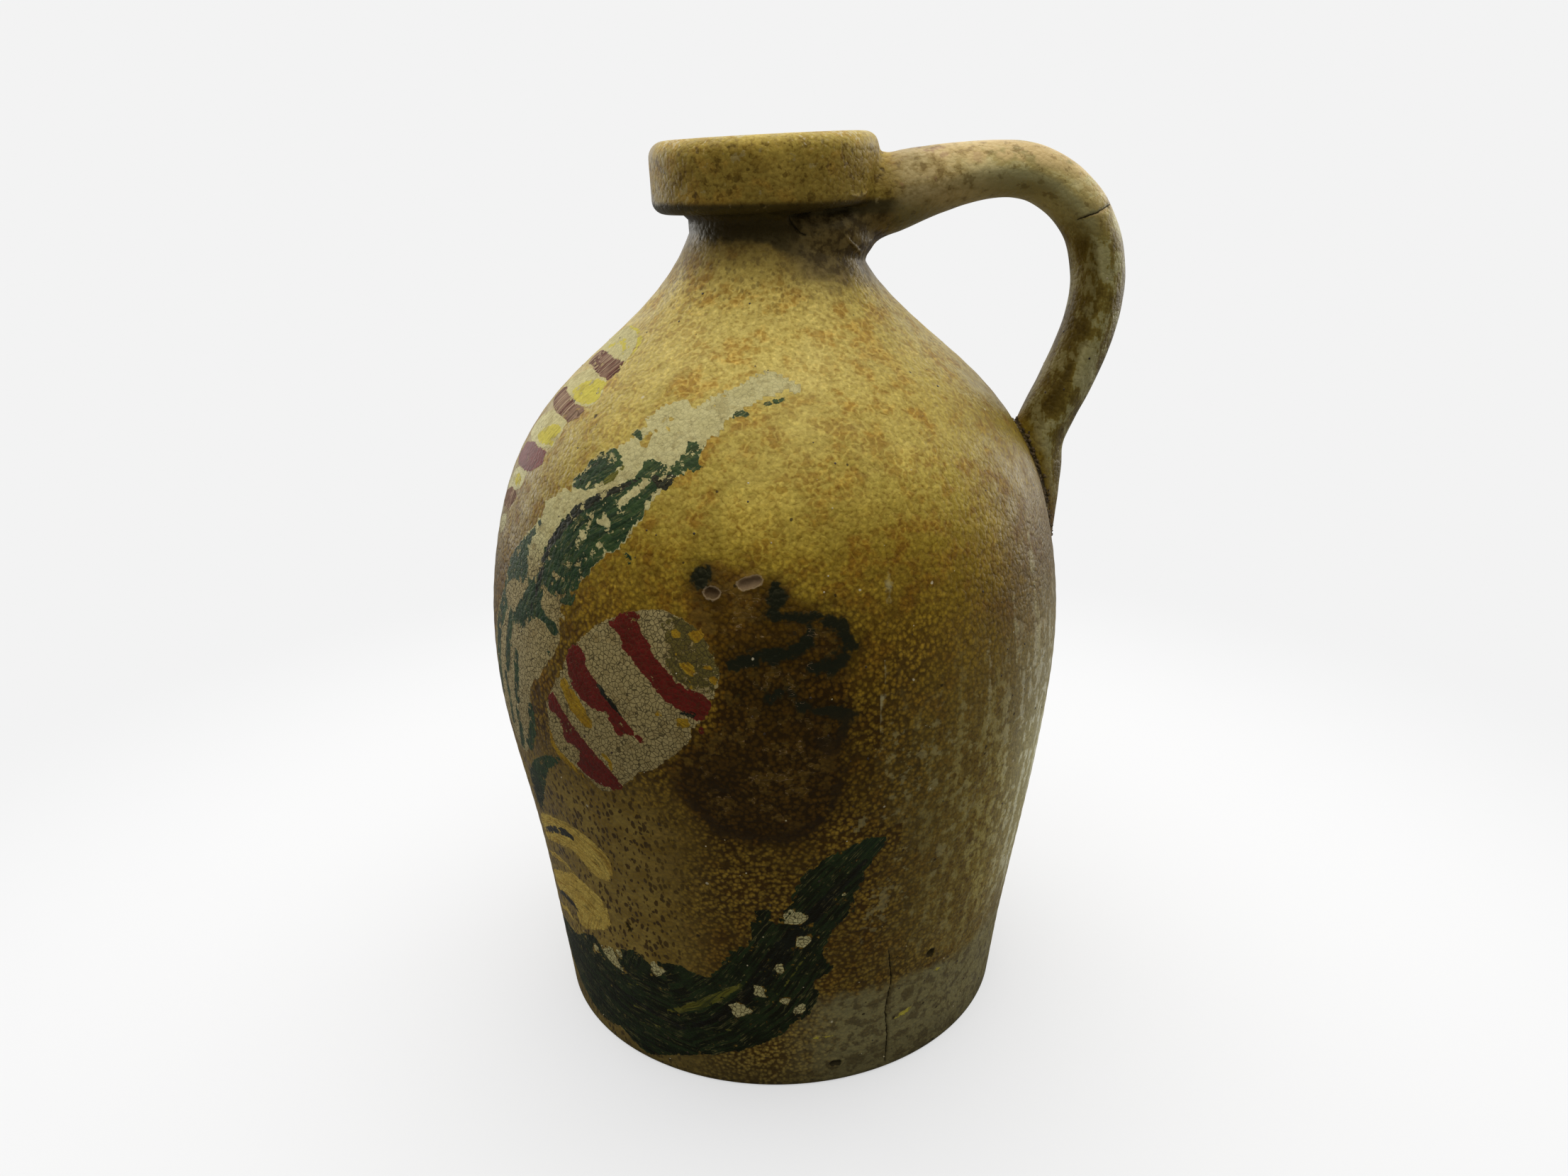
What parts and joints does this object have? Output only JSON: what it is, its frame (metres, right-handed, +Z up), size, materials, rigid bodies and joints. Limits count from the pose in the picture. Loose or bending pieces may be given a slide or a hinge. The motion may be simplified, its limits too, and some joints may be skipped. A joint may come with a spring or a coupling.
{
  "type": "jug",
  "caption": "Salt-glazed stoneware jug: a hollow turned body on a flat foot, with a narrow neck, a wide collar mouth and a strap handle from collar to shoulder.",
  "frame": {"origin": "centre of the flat underside", "axes": "+Z up the body, +X towards the handle, -Y towards the painted side"},
  "size_m": [0.2448, 0.2244, 0.3424],
  "materials": {
    "salt_glaze": "ochre salt glaze with an orange-peel surface, semi-gloss, worn, with flaking painted decoration on one side"
  },
  "bodies": {
    "root": {"jug": "salt_glaze"}
  },
  "joints": []
}
